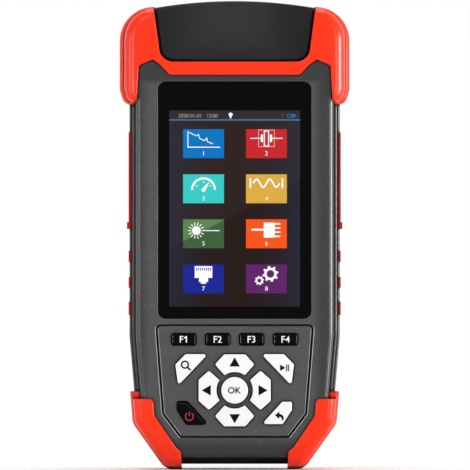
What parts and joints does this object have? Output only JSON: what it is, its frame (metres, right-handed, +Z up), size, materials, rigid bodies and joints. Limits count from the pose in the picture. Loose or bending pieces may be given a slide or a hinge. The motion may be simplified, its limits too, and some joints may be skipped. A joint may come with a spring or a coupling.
{
  "type": "optical time domain reflectometer",
  "caption": "Handheld optical fibre tester with a tall display, a keypad, rubber corner bumpers, a hinged cover over its ports and a folding stand.",
  "frame": {"origin": "middle of the bounding box at ground height, between the two feet", "axes": "+Z up along the instrument's length, -Y out of the display, +X to the right seen from the front"},
  "size_m": [0.0862, 0.044, 0.1754],
  "materials": {
    "case": "fine matte texture",
    "bumper": "satin",
    "grip": "satin",
    "cover": "satin",
    "stand": "matte",
    "steel": "satin",
    "cover_glass": "gloss",
    "tape": "matte",
    "display": "gloss",
    "white_key": "fine matte texture",
    "black_key": "satin",
    "silicone": "matte",
    "dome": "satin",
    "circuit_board": "satin",
    "buzzer": "matte",
    "cell": "gloss",
    "holder": "matte",
    "optics": "satin",
    "screw": "satin",
    "port_panel": "matte",
    "adapter": "polished",
    "ceramic": "gloss",
    "jack": "satin",
    "socket": "satin",
    "seal": "matte"
  },
  "bodies": {
    "case": {"front_housing": "case", "rear_housing": "case", "housing_gasket": "seal", "top_bumper": "bumper", "bumper_lower_left": "bumper", "bumper_lower_right": "bumper", "side_grip_left": "grip", "side_grip_right": "grip", "dust_cover_pin": "steel", "kickstand_pin": "steel", "cover_glass": "cover_glass", "glass_tape": "tape", "lcd_module": "display", "keypad_mat": "silicone", "dome_switches": "dome", "keypad_board": "circuit_board", "main_board": "circuit_board", "buzzer": "buzzer", "battery_cells": "cell", "battery_holder": "holder", "optical_module": "optics", "housing_screws": "screw", "panel_screws": "screw", "port_panel": "port_panel", "otdr_port": "adapter", "power_meter_port": "adapter", "laser_port": "adapter", "ferrule_sleeves": "ceramic", "network_jack": "jack", "usb_socket": "socket"},
    "cover": {"dust_cover": "cover"},
    "stand": {"kickstand": "stand"},
    "key_f1_body": {"key_f1": "black_key"},
    "key_f2_body": {"key_f2": "black_key"},
    "key_f3_body": {"key_f3": "black_key"},
    "key_f4_body": {"key_f4": "black_key"},
    "key_zoom_body": {"key_zoom": "white_key"},
    "key_run_hold_body": {"key_run_hold": "white_key"},
    "key_up_body": {"key_up": "white_key"},
    "key_right_body": {"key_right": "white_key"},
    "key_down_body": {"key_down": "white_key"},
    "key_left_body": {"key_left": "white_key"},
    "key_ok_body": {"key_ok": "white_key"},
    "key_power_body": {"key_power": "black_key"},
    "key_back_body": {"key_back": "white_key"}
  },
  "joints": [
    {"name": "cover_hinge", "type": "hinge", "parent": "case", "child": "cover", "pos_m": [0, 0.0175, 0.1572], "axis": [-1, 0, 0], "range_deg": [0, 115]},
    {"name": "stand_hinge", "type": "hinge", "parent": "case", "child": "stand", "pos_m": [0, 0.0188, 0.116], "axis": [1, 0, 0], "range_deg": [0, 55]},
    {"name": "key_f1_press", "type": "slide", "parent": "case", "child": "key_f1_body", "axis": [0, 1, 0], "range_m": [0, 0.0008], "stiffness_N_per_m": 1500},
    {"name": "key_f2_press", "type": "slide", "parent": "case", "child": "key_f2_body", "axis": [0, 1, 0], "range_m": [0, 0.0008], "stiffness_N_per_m": 1500},
    {"name": "key_f3_press", "type": "slide", "parent": "case", "child": "key_f3_body", "axis": [0, 1, 0], "range_m": [0, 0.0008], "stiffness_N_per_m": 1500},
    {"name": "key_f4_press", "type": "slide", "parent": "case", "child": "key_f4_body", "axis": [0, 1, 0], "range_m": [0, 0.0008], "stiffness_N_per_m": 1500},
    {"name": "key_zoom_press", "type": "slide", "parent": "case", "child": "key_zoom_body", "axis": [0, 1, 0], "range_m": [0, 0.0008], "stiffness_N_per_m": 1500},
    {"name": "key_run_hold_press", "type": "slide", "parent": "case", "child": "key_run_hold_body", "axis": [0, 1, 0], "range_m": [0, 0.0008], "stiffness_N_per_m": 1500},
    {"name": "key_up_press", "type": "slide", "parent": "case", "child": "key_up_body", "axis": [0, 1, 0], "range_m": [0, 0.0008], "stiffness_N_per_m": 1500},
    {"name": "key_right_press", "type": "slide", "parent": "case", "child": "key_right_body", "axis": [0, 1, 0], "range_m": [0, 0.0008], "stiffness_N_per_m": 1500},
    {"name": "key_down_press", "type": "slide", "parent": "case", "child": "key_down_body", "axis": [0, 1, 0], "range_m": [0, 0.0008], "stiffness_N_per_m": 1500},
    {"name": "key_left_press", "type": "slide", "parent": "case", "child": "key_left_body", "axis": [0, 1, 0], "range_m": [0, 0.0008], "stiffness_N_per_m": 1500},
    {"name": "key_ok_press", "type": "slide", "parent": "case", "child": "key_ok_body", "axis": [0, 1, 0], "range_m": [0, 0.0008], "stiffness_N_per_m": 1500},
    {"name": "key_power_press", "type": "slide", "parent": "case", "child": "key_power_body", "axis": [0, 1, 0], "range_m": [0, 0.0008], "stiffness_N_per_m": 1500},
    {"name": "key_back_press", "type": "slide", "parent": "case", "child": "key_back_body", "axis": [0, 1, 0], "range_m": [0, 0.0008], "stiffness_N_per_m": 1500}
  ]
}
